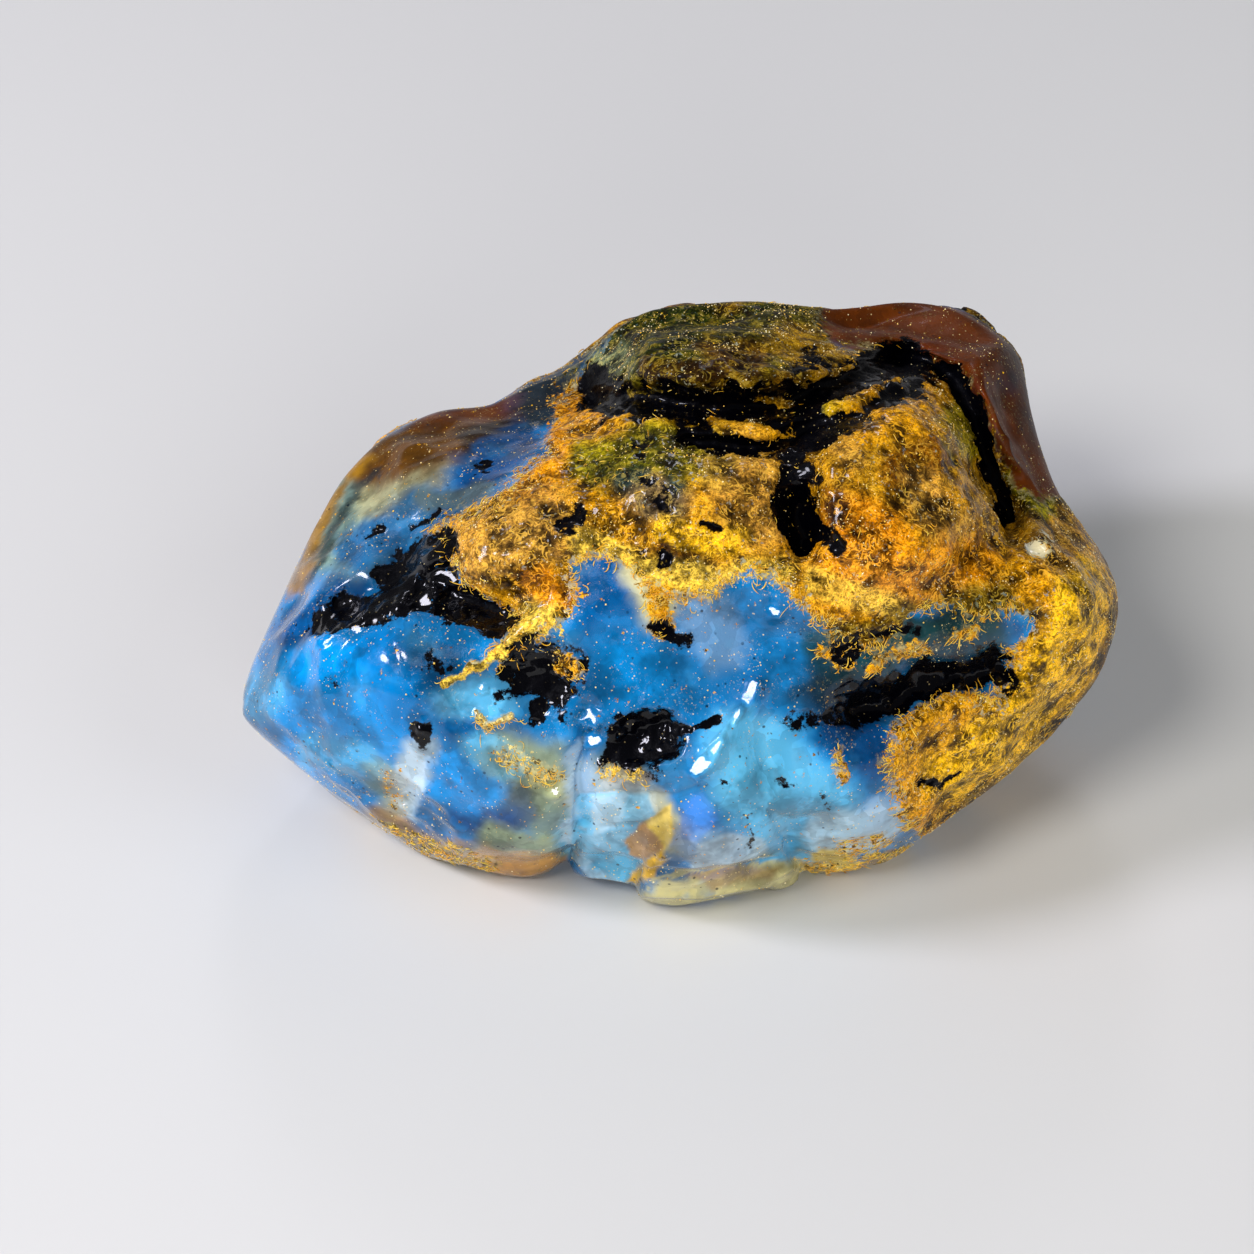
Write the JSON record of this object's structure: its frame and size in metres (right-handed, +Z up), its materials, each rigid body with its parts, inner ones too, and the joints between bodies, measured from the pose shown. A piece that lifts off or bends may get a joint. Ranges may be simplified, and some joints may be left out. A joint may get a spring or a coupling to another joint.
{
  "type": "rough blue amber",
  "caption": "Rough lump of blue amber: clear blue resin under a golden crust with black pockets, furrows and a broken back, lying on the flat spot under it.",
  "frame": {"origin": "centre of the bounding box in plan, at the height of the surface that the lump lies on", "axes": "+X along the lump's length to the right, +Y away from its best face, +Z up"},
  "size_m": [0.0551, 0.042, 0.029],
  "materials": {
    "blue_amber": "wet-looking glossy resin, clear blue with a rough golden crust and black pockets"
  },
  "bodies": {
    "root": {"amber": "blue_amber"}
  },
  "joints": []
}
